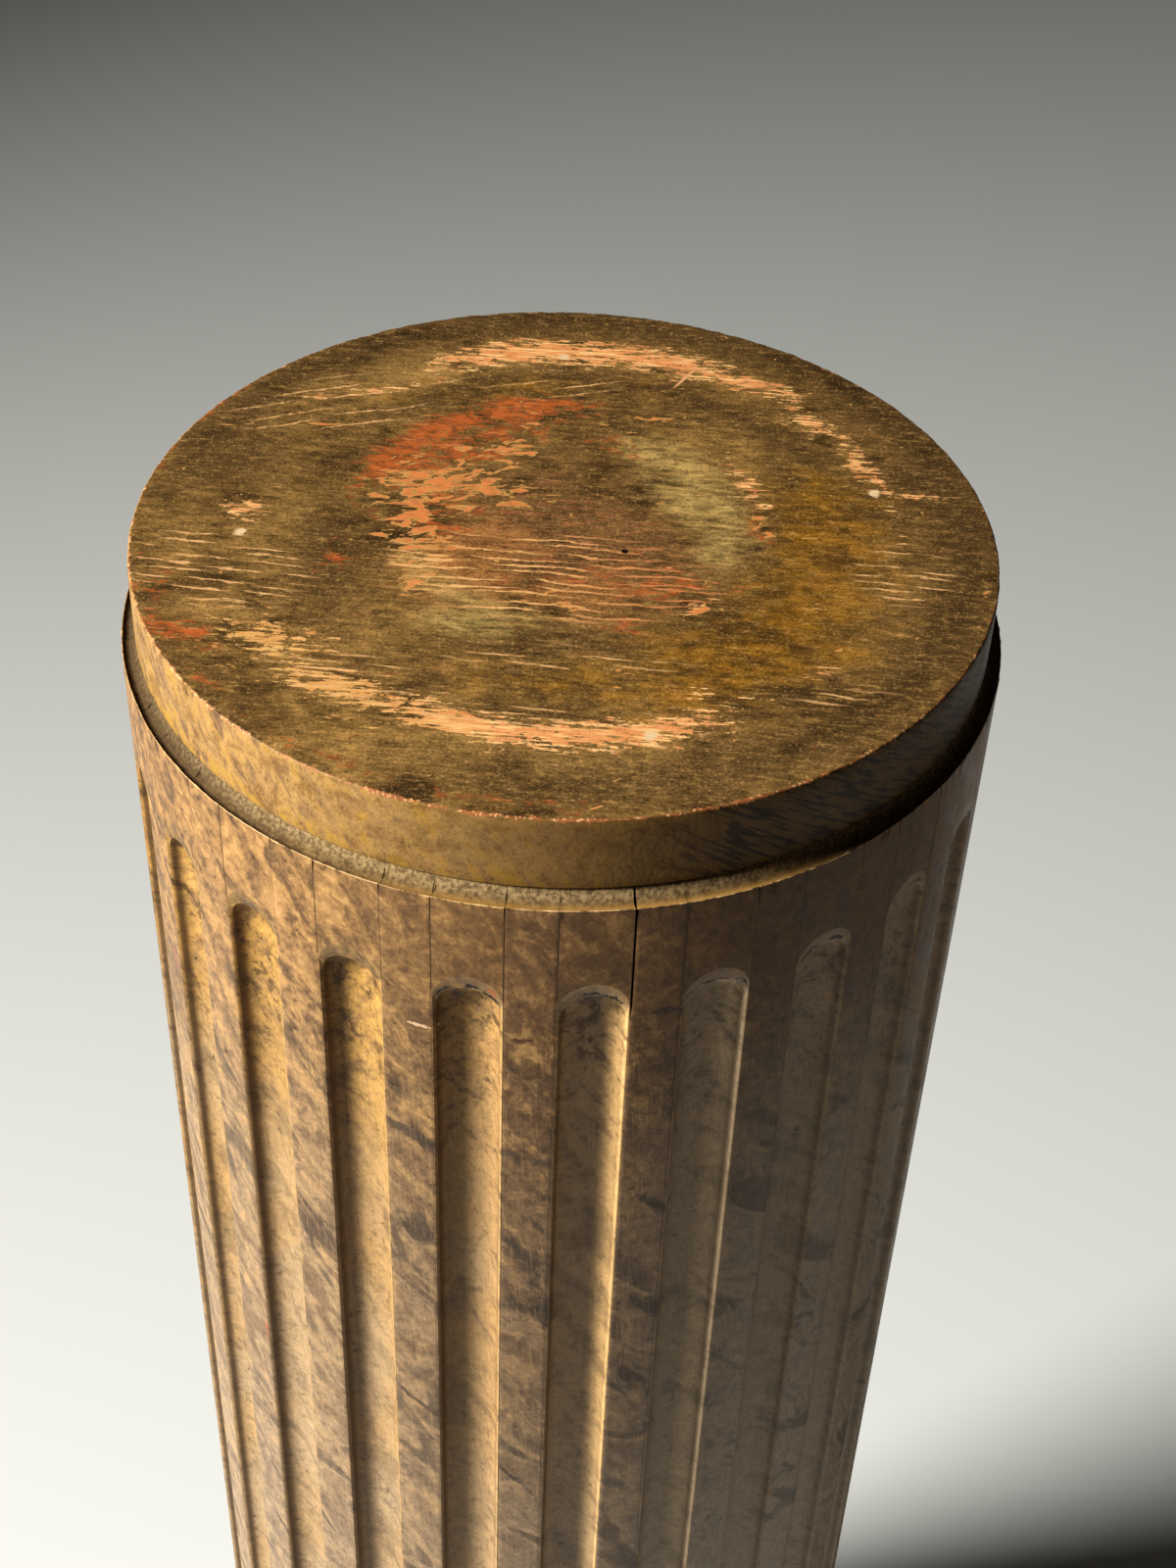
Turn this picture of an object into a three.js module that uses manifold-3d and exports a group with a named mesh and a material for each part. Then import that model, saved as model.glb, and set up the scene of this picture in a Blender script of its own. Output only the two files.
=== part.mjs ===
// A painted wooden pedestal column. A turned cap disc rests on a hollow shaft that is
// coopered from fluted and plain staves in turn, so that a joint runs down both sides
// of every flute. Millimetres, +Z up. The origin is the centre of the foot, and the
// side that is looked at faces -Y.

import * as THREE from 'three';
import { mergeVertices } from 'three/addons/utils/BufferGeometryUtils.js';
import Module from 'manifold-3d';

const wasm = await Module();
wasm.setup();

// Overall sizes
const HEIGHT = 1000;
const SHAFT_RADIUS = 150;
const WALL = 32;

// Cap disc
const DISC_RADIUS = 145;
const DISC_THICKNESS = 28;
const DISC_TOP_BEVEL = 1.2;
const DISC_FOOT_BEVEL = 0.8;
const DISC_SEGMENTS = 96;

// Ledge: the stave tops slope down and out from just under the disc to the rim
const LEDGE_DROP = 4;
const LEDGE_UNDERCUT = 1;
const LEDGE_SEGMENTS = 144;

// Staves and flutes
const FLUTE_COUNT = 24;
const FLUTED_SHARE = 0.58;
const FIRST_FLUTE_ANGLE = THREE.MathUtils.degToRad(5);
const FLUTE_LAND = 0.8;
const FLUTE_DEPTH = 6.2;
const FLUTE_FLOOR = 1.6;
const RIM_TO_FLUTE = 31.5;
const FOOT_TO_FLUTE = 36;
const FLUTE_END_SEGMENTS = 10;
const FLUTE_RINGS = 4;
const FLUTED_ARC_SEGMENTS = 4;
const PLAIN_ARC_SEGMENTS = 2;

// Clearance between neighbouring pieces
const JOINT = 0.3;

// Points closer than this are one point
const SAME_POINT = 1e-4;

// Heights and widths that follow from them
const DISC_BOTTOM = HEIGHT - DISC_THICKNESS;
const STAVE_TOP = DISC_BOTTOM - JOINT;
const RIM_HEIGHT = DISC_BOTTOM - LEDGE_DROP;
const PITCH = (2 * Math.PI) / FLUTE_COUNT;
const FLUTED_ANGLE = PITCH * FLUTED_SHARE;
const PLAIN_ANGLE = PITCH - FLUTED_ANGLE;
const FLUTE_WIDTH = SHAFT_RADIUS * FLUTED_ANGLE - 2 * FLUTE_LAND;
const FLUTE_TOP = RIM_HEIGHT - RIM_TO_FLUTE;

const discPaint = new THREE.MeshStandardMaterial({ color: 0x5d4424, roughness: 0.62, metalness: 0 });
const shaftPaint = new THREE.MeshStandardMaterial({ color: 0x7b5c38, roughness: 0.58, metalness: 0 });

// A closed geometry as a solid that can be cut
function toSolid(geometry) {
  const bare = geometry.clone();
  bare.deleteAttribute('normal');
  bare.deleteAttribute('uv');
  const merged = mergeVertices(bare, SAME_POINT);
  const vertProperties = new Float32Array(merged.attributes.position.array);
  const triVerts = new Uint32Array(merged.index.array);
  return new wasm.Manifold(new wasm.Mesh({ numProp: 3, vertProperties, triVerts }));
}

function toGeometry(solid) {
  const mesh = solid.getMesh();
  const geometry = new THREE.BufferGeometry();
  geometry.setAttribute('position', new THREE.BufferAttribute(mesh.vertProperties, 3));
  geometry.setIndex(new THREE.BufferAttribute(mesh.triVerts, 1));
  geometry.computeVertexNormals();
  return geometry;
}

// A profile of [radius, height] points turned about +Z
function turned(points, segments) {
  const profile = points.map(([radius, height]) => new THREE.Vector2(radius, height));
  return new THREE.LatheGeometry(profile, segments).rotateX(Math.PI / 2);
}

// The cap: one turned board with a softened edge above and below
function capDisc() {
  const profile = [
    [0, DISC_BOTTOM],
    [DISC_RADIUS - DISC_FOOT_BEVEL, DISC_BOTTOM],
    [DISC_RADIUS, DISC_BOTTOM + DISC_FOOT_BEVEL],
    [DISC_RADIUS, HEIGHT - DISC_TOP_BEVEL],
    [DISC_RADIUS - DISC_TOP_BEVEL, HEIGHT],
    [0, HEIGHT],
  ];
  return turned(profile, DISC_SEGMENTS);
}

// What is turned off the stave tops to leave the sloping ledge around the disc
function ledgeWaste() {
  const inner = DISC_RADIUS - LEDGE_UNDERCUT;
  const slope = (STAVE_TOP - RIM_HEIGHT) / (SHAFT_RADIUS - inner);
  const spare = WALL / 2;
  const profile = [
    [inner - spare, STAVE_TOP + spare * slope],
    [SHAFT_RADIUS + spare, RIM_HEIGHT - spare * slope],
    [SHAFT_RADIUS + spare, STAVE_TOP + spare * slope],
    [inner - spare, STAVE_TOP + spare * slope],
  ];
  return toSolid(turned(profile, LEDGE_SEGMENTS));
}

// A stave that faces -Y: flat at the back, rounded in front, with radial joints.
// An arc in a shape gets two segments for each one in curveSegments.
function staveBlank(angle, arcSegments) {
  const half = angle / 2 - JOINT / 2 / SHAFT_RADIUS;
  const inner = SHAFT_RADIUS - WALL;
  const front = -Math.PI / 2;
  const plan = new THREE.Shape();
  plan.moveTo(inner * Math.tan(half), -inner);
  plan.lineTo(-inner * Math.tan(half), -inner);
  plan.absarc(0, 0, SHAFT_RADIUS, front - half, front + half, false);
  plan.closePath();
  const options = { depth: STAVE_TOP, bevelEnabled: false, curveSegments: arcSegments / 2 };
  return toSolid(new THREE.ExtrudeGeometry(plan, options)).subtract(ledgeWaste());
}

// The hollow of one flute: a long shape with round ends that narrows, along a quarter
// ellipse, to a thin floor. It is symmetrical about the shaft's surface.
function fluteHollow() {
  const half = FLUTE_WIDTH / 2;
  const outline = new THREE.Shape();
  outline.absarc(0, FLUTE_TOP - half, half, 0, Math.PI, false);
  outline.absarc(0, FOOT_TO_FLUTE + half, half, Math.PI, 2 * Math.PI, false);
  outline.closePath();
  const narrowing = half - FLUTE_FLOOR;
  const options = {
    depth: JOINT,
    curveSegments: FLUTE_END_SEGMENTS / 2,
    bevelThickness: FLUTE_DEPTH,
    bevelSize: narrowing,
    bevelOffset: -narrowing,
    bevelSegments: FLUTE_RINGS,
  };
  const hollow = new THREE.ExtrudeGeometry(outline, options);
  hollow.rotateX(Math.PI / 2);
  hollow.translate(0, -SHAFT_RADIUS + JOINT / 2, 0);
  return toSolid(hollow);
}

const column = new THREE.Group();

const disc = new THREE.Mesh(capDisc(), discPaint);
disc.name = 'cap_disc';
column.add(disc);

const flutedStave = toGeometry(staveBlank(FLUTED_ANGLE, FLUTED_ARC_SEGMENTS).subtract(fluteHollow()));
const plainStave = toGeometry(staveBlank(PLAIN_ANGLE, PLAIN_ARC_SEGMENTS));

// The shaft: a fluted stave and the plain stave to its right, all the way round
for (let index = 0; index < FLUTE_COUNT; index += 1) {
  const label = String(index + 1).padStart(2, '0');
  const angle = FIRST_FLUTE_ANGLE + index * PITCH;

  const fluted = new THREE.Mesh(flutedStave, shaftPaint);
  fluted.name = `fluted_stave_${label}`;
  fluted.rotation.z = angle;
  column.add(fluted);

  const plain = new THREE.Mesh(plainStave, shaftPaint);
  plain.name = `plain_stave_${label}`;
  plain.rotation.z = angle + PITCH / 2;
  column.add(plain);
}

export default column;
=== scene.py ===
"""A painted wooden pedestal column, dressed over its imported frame.

A worn cap disc rests on a hollow shaft that is coopered from fluted and plain staves in turn.
Metres, +Z up, the viewed side faces -Y.
"""

import math
import random

import bmesh
import bpy
from mathutils import Euler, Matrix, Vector


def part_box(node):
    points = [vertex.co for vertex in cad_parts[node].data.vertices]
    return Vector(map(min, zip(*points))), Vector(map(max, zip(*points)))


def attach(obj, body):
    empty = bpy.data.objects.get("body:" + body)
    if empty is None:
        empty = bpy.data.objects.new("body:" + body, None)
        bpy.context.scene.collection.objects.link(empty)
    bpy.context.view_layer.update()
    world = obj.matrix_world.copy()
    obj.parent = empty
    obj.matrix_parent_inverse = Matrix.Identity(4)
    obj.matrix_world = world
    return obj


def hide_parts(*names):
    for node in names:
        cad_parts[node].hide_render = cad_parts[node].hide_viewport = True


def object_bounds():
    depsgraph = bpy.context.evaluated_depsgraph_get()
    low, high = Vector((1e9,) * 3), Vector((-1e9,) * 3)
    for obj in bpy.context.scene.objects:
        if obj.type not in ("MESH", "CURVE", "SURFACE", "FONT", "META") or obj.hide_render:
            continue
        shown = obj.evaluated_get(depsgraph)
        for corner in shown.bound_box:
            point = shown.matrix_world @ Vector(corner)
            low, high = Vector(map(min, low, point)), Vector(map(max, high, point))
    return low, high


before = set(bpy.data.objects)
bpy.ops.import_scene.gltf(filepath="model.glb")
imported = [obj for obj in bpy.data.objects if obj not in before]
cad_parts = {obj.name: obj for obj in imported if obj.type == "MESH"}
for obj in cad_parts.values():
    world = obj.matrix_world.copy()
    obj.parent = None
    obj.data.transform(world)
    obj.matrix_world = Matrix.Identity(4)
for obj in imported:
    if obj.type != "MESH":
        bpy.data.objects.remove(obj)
cad_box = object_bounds()

MM = 0.001

# Sizes that the frame gives
DISC_LOW, DISC_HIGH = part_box("cap_disc")
DISC_RADIUS = DISC_HIGH.x
DISC_BOTTOM = DISC_LOW.z
DISC_TOP = DISC_HIGH.z
SHAFT_RADIUS = cad_box[1].x
STAVE_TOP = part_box("fluted_stave_01")[1].z

# Staves and flutes
FLUTE_COUNT = 24
FLUTED_SHARE = 0.58
FIRST_FLUTE = math.radians(5)
WALL = 32 * MM
JOINT = 0.03 * MM
FLUTE_LAND = 0.22 * MM
FLUTE_DEPTH = 7.0 * MM
FLUTE_FLOOR = 0.9 * MM
LIP_SIDE = 0.7 * MM
LIP_DROP = 0.8 * MM
END_LIP = 4.8 * MM
RIM_TO_FLUTE = 31.5 * MM
FOOT_TO_FLUTE = 36 * MM
LEDGE_DROP = 4 * MM
LEDGE_WIDTH = 6 * MM
PITCH = 2 * math.pi / FLUTE_COUNT
FLUTED_WIDTH = SHAFT_RADIUS * PITCH * FLUTED_SHARE
PLAIN_WIDTH = SHAFT_RADIUS * PITCH - FLUTED_WIDTH
FLUTE_HALF = FLUTED_WIDTH / 2 - FLUTE_LAND
RIM = DISC_BOTTOM - LEDGE_DROP
FLUTE_TOP = RIM - RIM_TO_FLUTE
TOP_CENTRE = FLUTE_TOP - FLUTE_HALF
FOOT_CENTRE = FOOT_TO_FLUTE + FLUTE_HALF

# Hollow of the ledge, as steps inwards and up from the rim
LEDGE_COVE = (
    (0.4 * MM, 0.1 * MM),
    (1.2 * MM, -1.0 * MM),
    (2.6 * MM, -1.2 * MM),
    (4.0 * MM, 0.1 * MM),
    (5.2 * MM, 2.4 * MM),
)

# Wear: how far it reaches, how deep it goes, the size of its chips and the share that stays proud
RIM_WEAR = 1.5 * MM
RIM_DENT = 1.0 * MM
RIM_CHIP = 4 * MM
RIM_PROUD = 0.72
DISC_WEAR = 2.5 * MM
DISC_DENT = 0.9 * MM
DISC_CHIP = 5 * MM
DISC_PROUD = 0.75
DISC_EDGE = 1.1 * MM
SOFT_EDGE = 0.07 * MM

# Slack: one joint that gapes, and how much narrower, lower and deeper a stave may be
OPEN_JOINT = 0.7 * MM
OPEN_STAVE = "plain_stave_01"
SLACK_WIDTH = 0.002
SLACK_HEIGHT = 0.0002
SLACK_DEPTH = 0.12 * MM
SLACK_SEED = 7

# Fineness of the meshes
END_POINTS = 32
FLUTE_STEPS = 6
PLAIN_STEPS = 12
LOOP_GAP = 6 * MM
DISC_POINTS = 480
DISC_RING = 3 * MM
BEVEL_ANGLE = math.radians(38)
SMOOTH_ANGLE = math.radians(50)
NEAR = 0.02 * MM

# Camera, with its place measured from the middle of the disc's top
CAMERA_LENS = 54.39
SENSOR_WIDTH = 36
CAMERA_BACK = 0.6536
CAMERA_ABOVE = 0.4575
CAMERA_PITCH = math.radians(41.08)
CAMERA_YAW = math.radians(0.964)
CAMERA_ROLL = math.radians(2.36)

# Floor and light. The key level is how much the key light brightens the paints.
FLOOR_SIZE = 30
KEY_LEVEL = 1.35
KEY_POWER = 88 * KEY_LEVEL
KEY_SIZE = 1.35
KEY_SPREAD = math.radians(80)
KEY_PLACE = (-3.2, -1.11, 3.1)
KEY_AIM = (0.1, -0.3, 0.6)
AIR_TONE = (1, 0.94, 0.85, 1)
AIR_LEVEL = 0.03

# Places on the shaft: the joint at the back where unrolled noise starts, and the side with darker paint and
# painted shade
SEAM = math.radians(0.65)
SHADED_SIDE = math.radians(20)

# Places on the disc, in millimetres from its centre
WEAR_CENTRE = (1, 4)
NAIL_FILLS = ((-108, -7), (-2.5, 111), (106, 28), (27.5, -106))
OPEN_HOLE = (20, -11)
LONE_SCRATCH = (42, 99)

# Marks on the shaft: degrees right of the front, millimetres below the rim, half its length and height,
# and its tone
SHAFT_MARKS = (
    (-15.7, 57, 4.4, 0.7, (222, 184, 138)),
    (-7.0, 37, 1.4, 2.2, (166, 98, 56)),
    (-3.4, 57, 3.6, 1.2, (74, 42, 30)),
    (-60.8, 103, 1.8, 4.0, (150, 92, 72)),
    (-44.6, 270, 0.7, 3.5, (176, 82, 70)),
    (15.0, 46, 6.0, 1.2, (66, 50, 38)),
)

# Wisps of smoke on the shaft: degrees and millimetres as above, half its length and height, and its fall
SMOKE_WISPS = (
    (-33, 184, 9, 9, 0.7),
    (-2.5, 170, 8, 8, 0.9),
    (1.0, 196, 12, 6, 0.3),
    (18, 200, 26, 5, 0.35),
    (-17, 262, 9, 1.6, 0.8),
    (-3.5, 300, 9, 1.6, 1.3),
    (-41.7, 134, 7, 3, -0.3),
    (-17.6, 110, 9, 3, 0.5),
    (-16.5, 158, 6, 7, 0.2),
    (-26.2, 95, 6, 4, -0.3),
    (-12, 198, 6, 11, 0.3),
    (13, 240, 6, 6, 0.8),
    (13.5, 138, 7, 2.5, 0.8),
    (21, 262, 8, 5, 0.5),
)

# Painted highlights and painted shade on the right walls of the flutes: millimetres right of the flute's
# middle where the paint starts and is full, the X about which it is laid, how far it reaches and where it is
# full, its cover and its tone
RIGHT_WALL_LIGHTING = (
    (2.0, 8.5, 22, 48, 15, 0.75, (226, 178, 108)),
    (1.0, 8.0, 56, 18, 8, 0.55, (226, 196, 156)),
    (1.0, 7.0, -24, 40, 15, 0.4, (150, 108, 56)),
)


# Modelling by hand: selecting by place, cutting, bending and softening

def clear_selection():
    bpy.ops.object.select_all(action="DESELECT")


def start_editing(piece):
    bpy.context.view_layer.objects.active = piece
    bpy.ops.object.mode_set(mode="EDIT")


def stop_editing():
    bpy.ops.object.mode_set(mode="OBJECT")


def choose_points(test):
    """In edit mode, select the points whose place passes the test."""
    data = bpy.context.edit_object.data
    mesh = bmesh.from_edit_mesh(data)
    bpy.ops.mesh.select_mode(type="VERT")
    bpy.ops.mesh.select_all(action="DESELECT")
    for point in mesh.verts:
        if test(point.co):
            point.select_set(True)
    mesh.select_flush(True)
    bmesh.update_edit_mesh(data)


def choose_open_edges(test):
    """In edit mode, select the open edges whose middle passes the test."""
    data = bpy.context.edit_object.data
    mesh = bmesh.from_edit_mesh(data)
    bpy.ops.mesh.select_mode(type="EDGE")
    bpy.ops.mesh.select_all(action="DESELECT")
    for edge in mesh.edges:
        middle = (edge.verts[0].co + edge.verts[1].co) / 2
        if edge.is_boundary and test(middle):
            edge.select_set(True)
    bmesh.update_edit_mesh(data)


def choose_faces(test):
    """In edit mode, select the faces whose middle and normal pass the test."""
    data = bpy.context.edit_object.data
    mesh = bmesh.from_edit_mesh(data)
    bpy.ops.mesh.select_mode(type="FACE")
    bpy.ops.mesh.select_all(action="DESELECT")
    for face in mesh.faces:
        if test(face.calc_center_median(), face.normal):
            face.select_set(True)
    bmesh.update_edit_mesh(data)


def move(x=0.0, y=0.0, z=0.0):
    bpy.ops.transform.translate(value=(x, y, z))


def flatten(axis, level):
    """Bring what is selected to one level along an axis, 0 for X or 2 for Z."""
    scale = [1.0, 1.0, 1.0]
    scale[axis] = 0.0
    centre = [0.0, 0.0, 0.0]
    centre[axis] = level
    bpy.ops.transform.resize(value=scale, center_override=centre)


def extrude_edges(x=0.0, y=0.0, z=0.0):
    bpy.ops.mesh.extrude_edges_move(TRANSFORM_OT_translate={"value": (x, y, z)})


def cut_across(axis, levels):
    """Cut the whole mesh by planes across one axis, so that it gets loops of edges there."""
    normal = [0.0, 0.0, 0.0]
    normal[axis] = 1.0
    for level in levels:
        place = [0.0, 0.0, 0.0]
        place[axis] = level
        bpy.ops.mesh.select_all(action="SELECT")
        bpy.ops.mesh.bisect(plane_co=place, plane_no=normal)


def even_levels(low, high, gap):
    """Levels between low and high, both left out, about gap apart."""
    count = max(1, round((high - low) / gap))
    return [low + (high - low) * step / count for step in range(1, count)]


def apply_modifier(piece, kind, **settings):
    clear_selection()
    piece.select_set(True)
    bpy.context.view_layer.objects.active = piece
    modifier = piece.modifiers.new(kind.title(), kind)
    for name, value in settings.items():
        setattr(modifier, name, value)
    bpy.ops.object.modifier_apply(modifier=modifier.name)


def soften_edges(piece, width, segments=2):
    apply_modifier(
        piece,
        "BEVEL",
        width=width,
        segments=segments,
        limit_method="ANGLE",
        angle_limit=BEVEL_ANGLE,
        use_clamp_overlap=True,
        harden_normals=False,
    )


def round_to_shaft(piece, width):
    """Bend a flat stave, with its face at Y = 0, to the shaft's round, and set it at the front."""
    apply_modifier(
        piece,
        "SIMPLE_DEFORM",
        deform_method="BEND",
        deform_axis="Z",
        angle=width / SHAFT_RADIUS,
    )
    piece.location.y = -SHAFT_RADIUS
    bpy.ops.object.transform_apply(location=True, rotation=True, scale=True)


def weathering(name, grain):
    """A cloudy texture for uneven edges and dents, with lumps of the given size."""
    texture = bpy.data.textures.new(name, "CLOUDS")
    texture.noise_scale = grain
    texture.noise_depth = 3
    return texture


def dent(piece, texture, depth, proud, group=None):
    """Push the surface in by up to depth, with its highest spots left proud."""
    settings = {
        "texture": texture,
        "texture_coords": "LOCAL",
        "strength": depth,
        "mid_level": proud,
    }
    if group:
        settings["vertex_group"] = group
    apply_modifier(piece, "DISPLACE", **settings)


def group_points(piece, name, weight):
    """A vertex group whose weights come from a function of a point's place."""
    group = piece.vertex_groups.new(name=name)
    for point in piece.data.vertices:
        amount = weight(point.co)
        if amount > 0:
            group.add([point.index], min(amount, 1.0), "REPLACE")


def smooth_shading(piece):
    clear_selection()
    piece.select_set(True)
    bpy.context.view_layer.objects.active = piece
    bpy.ops.object.shade_smooth_by_angle(angle=SMOOTH_ANGLE)


# The fluted stave: a flute with round ends sunk in a narrow board

def flute_profile():
    """Steps of (inwards, down) from the edge of a flute to its floor, along a quarter ellipse."""
    reach = FLUTE_HALF - LIP_SIDE - FLUTE_FLOOR
    drop = FLUTE_DEPTH - LIP_DROP
    steps = [(LIP_SIDE, LIP_DROP)]
    for step in range(FLUTE_STEPS):
        start = math.pi / 2 * step / FLUTE_STEPS
        end = math.pi / 2 * (step + 1) / FLUTE_STEPS
        inwards = reach * (math.cos(start) - math.cos(end))
        down = drop * (math.sin(end) - math.sin(start))
        steps.append((inwards, down))
    return steps


def model_fluted_stave():
    clear_selection()
    middle = (TOP_CENTRE + FOOT_CENTRE) / 2
    half_run = (TOP_CENTRE - FOOT_CENTRE) / 2
    half_width = FLUTED_WIDTH / 2 - JOINT / 2
    bpy.ops.mesh.primitive_circle_add(
        vertices=2 * END_POINTS,
        radius=FLUTE_HALF,
        fill_type="NGON",
        location=(0, 0, middle),
        rotation=(math.pi / 2, 0, 0),
    )
    stave = bpy.context.object
    bpy.ops.object.transform_apply(location=True, rotation=True, scale=True)
    start_editing(stave)

    # Draw the circle out into a long shape with round ends
    choose_points(lambda place: place.z > middle + NEAR)
    move(z=half_run)
    choose_points(lambda place: place.z < middle - NEAR)
    move(z=-half_run)
    cut_across(2, even_levels(FOOT_CENTRE, TOP_CENTRE, LOOP_GAP))

    # Sink the flute ring by ring, then draw the sunk rings in at both ends, so that the lip slopes there
    bpy.ops.mesh.select_mode(type="FACE")
    bpy.ops.mesh.select_all(action="SELECT")
    for inwards, down in flute_profile():
        bpy.ops.mesh.inset(thickness=inwards, depth=-down, use_even_offset=True, use_boundary=True)
    choose_points(lambda place: place.y > NEAR and place.z > TOP_CENTRE + NEAR)
    move(z=-END_LIP)
    choose_points(lambda place: place.y > NEAR and place.z < FOOT_CENTRE - NEAR)
    move(z=END_LIP)

    # Carry the face out to the rim, the foot and the joints
    choose_open_edges(lambda place: place.z > TOP_CENTRE + NEAR)
    extrude_edges(z=FLUTE_HALF)
    flatten(2, RIM)
    choose_open_edges(lambda place: place.z < FOOT_CENTRE - NEAR and place.z > NEAR)
    extrude_edges(z=-FLUTE_HALF)
    flatten(2, 0.0)
    for side in (-1, 1):
        inside = FLUTE_HALF * 0.97
        choose_open_edges(lambda place: place.x * side > inside and NEAR < place.z < RIM - NEAR)
        extrude_edges(x=side * FLUTE_LAND)
        flatten(0, side * half_width)
    cut_across(2, even_levels(FLUTE_TOP, RIM, LOOP_GAP))
    cut_across(2, even_levels(0.0, FOOT_TO_FLUTE, LOOP_GAP))
    finish_stave_body(stave)
    round_to_shaft(stave, 2 * half_width)
    soften_edges(stave, SOFT_EDGE)
    return stave


def finish_stave_body(stave):
    """Give an open stave face its hollow ledge, its thickness and its back."""
    reached = 0.0
    level = 0.0
    for inwards, up in (*LEDGE_COVE, (LEDGE_WIDTH, STAVE_TOP - RIM)):
        choose_open_edges(lambda place: True)
        extrude_edges(y=inwards - reached)
        choose_points(lambda place: place.y > inwards - NEAR and place.z > RIM - LEDGE_WIDTH / 2)
        move(z=up - level)
        reached = inwards
        level = up
    choose_open_edges(lambda place: True)
    extrude_edges(y=WALL - LEDGE_WIDTH)
    choose_open_edges(lambda place: True)
    bpy.ops.mesh.edge_face_add()
    bpy.ops.mesh.select_all(action="SELECT")
    bpy.ops.mesh.normals_make_consistent(inside=False)
    stop_editing()


# The plain stave: a narrow board between two flutes

def model_plain_stave():
    clear_selection()
    half_width = PLAIN_WIDTH / 2 - JOINT / 2
    bpy.ops.mesh.primitive_plane_add(size=1, location=(0, 0, RIM / 2), rotation=(math.pi / 2, 0, 0))
    stave = bpy.context.object
    stave.scale = (2 * half_width, RIM, 1)
    bpy.ops.object.transform_apply(location=True, rotation=True, scale=True)
    start_editing(stave)
    cut_across(2, even_levels(0.0, RIM, LOOP_GAP))
    cut_across(0, even_levels(-half_width, half_width, 2 * half_width / PLAIN_STEPS))
    finish_stave_body(stave)
    round_to_shaft(stave, 2 * half_width)
    soften_edges(stave, SOFT_EDGE)
    return stave


# The cap disc: a turned board with a worn edge

def near_arris(place):
    """How near a point of the disc lies to its upper edge, from 0 to 1."""
    if place.xy.length < DISC_RADIUS - DISC_WEAR:
        return 0.0
    return 1 - abs(place.z - DISC_TOP) / DISC_WEAR


def model_cap_disc():
    clear_selection()
    bpy.ops.mesh.primitive_cylinder_add(
        vertices=DISC_POINTS,
        radius=DISC_RADIUS,
        depth=DISC_TOP - DISC_BOTTOM,
        location=(0, 0, (DISC_TOP + DISC_BOTTOM) / 2),
        end_fill_type="NGON",
    )
    disc = bpy.context.object
    bpy.ops.object.transform_apply(location=True, rotation=True, scale=True)
    soften_edges(disc, DISC_EDGE, segments=4)
    start_editing(disc)
    choose_faces(lambda place, normal: normal.z > 0.99)
    for _ in range(int(DISC_RADIUS / DISC_RING) - 1):
        bpy.ops.mesh.inset(thickness=DISC_RING, depth=0.0)
    cut_across(2, even_levels(DISC_BOTTOM + DISC_EDGE, DISC_TOP - DISC_EDGE, DISC_RING))
    stop_editing()
    group_points(disc, "arris", near_arris)
    dent(disc, weathering("arris_chips", DISC_CHIP), DISC_DENT, DISC_PROUD, "arris")
    return disc


# Setting up the shaft: copies of the two staves with a little slack, and a worn rim

def place_copy(template, name, angle, slack, gape=0.0):
    """A copy of a stave, a little narrower, lower and deeper than its neighbours, turned to its place.

    A gape opens the upper part of the joint on its left.
    """
    clear_selection()
    stave = template.copy()
    stave.data = template.data.copy()
    stave.name = name
    bpy.context.collection.objects.link(stave)
    stave.select_set(True)
    bpy.context.view_layer.objects.active = stave
    if gape:
        left = min(point.co.x for point in stave.data.vertices)
        start_editing(stave)
        choose_points(lambda place: place.x < left + 2 * gape and place.z > TOP_CENTRE)
        move(x=gape)
        stop_editing()
    stave.scale = (1 - slack.uniform(0, SLACK_WIDTH), 1, 1 - slack.uniform(0, SLACK_HEIGHT))
    stave.location.y = slack.uniform(0, SLACK_DEPTH)
    bpy.ops.object.transform_apply(location=True, rotation=True, scale=True)
    stave.rotation_euler.z = angle
    bpy.ops.object.transform_apply(location=True, rotation=True, scale=True)
    return stave


def wear_rim(stave, texture):
    """Knock the edge of the rim about."""
    group_points(stave, "rim", lambda place: 1 - abs(place.z - RIM) / RIM_WEAR)
    dent(stave, texture, RIM_DENT, RIM_PROUD, "rim")


# Paint: a small kit of nodes. Places are in millimetres.

def tone(red, green, blue):
    """A screen colour, noted as it looks under the key light, as the paint's own colour."""
    channels = []
    for level in (red, green, blue):
        share = level / 255
        lit = share / 12.92 if share < 0.04045 else ((share + 0.055) / 1.055) ** 2.4
        channels.append(lit / KEY_LEVEL)
    return (channels[0], channels[1], channels[2], 1.0)


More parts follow.
